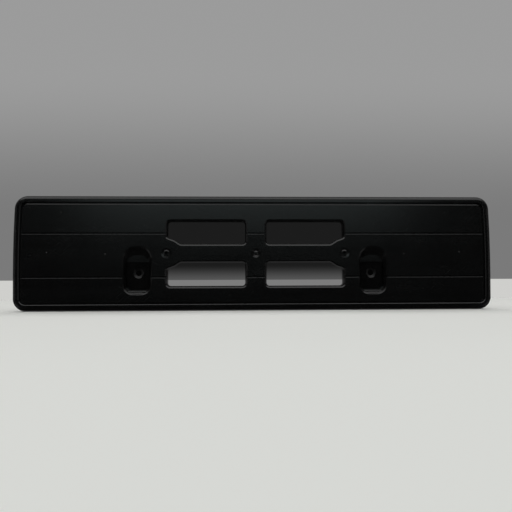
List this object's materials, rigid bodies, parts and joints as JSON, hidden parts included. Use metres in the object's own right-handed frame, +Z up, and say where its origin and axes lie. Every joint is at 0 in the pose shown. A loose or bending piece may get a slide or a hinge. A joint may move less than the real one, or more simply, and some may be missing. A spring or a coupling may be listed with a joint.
{
  "type": "number plate holder",
  "caption": "Flat black plastic holder that screws to a car's bumper and carries a number plate on a rimmed seat, with windows and stepped screw pockets.",
  "frame": {"origin": "midway between the axes of the two bumper screw holes, on the flat side that lies against the bumper", "axes": "+X along the plate, +Z up as on the car, -Y towards the plate, +Y into the bumper"},
  "size_m": [0.535, 0.0122, 0.128],
  "materials": {
    "black_plastic": "satin, fine moulded grain"
  },
  "bodies": {
    "root": {"plate_holder": "black_plastic"}
  },
  "joints": []
}
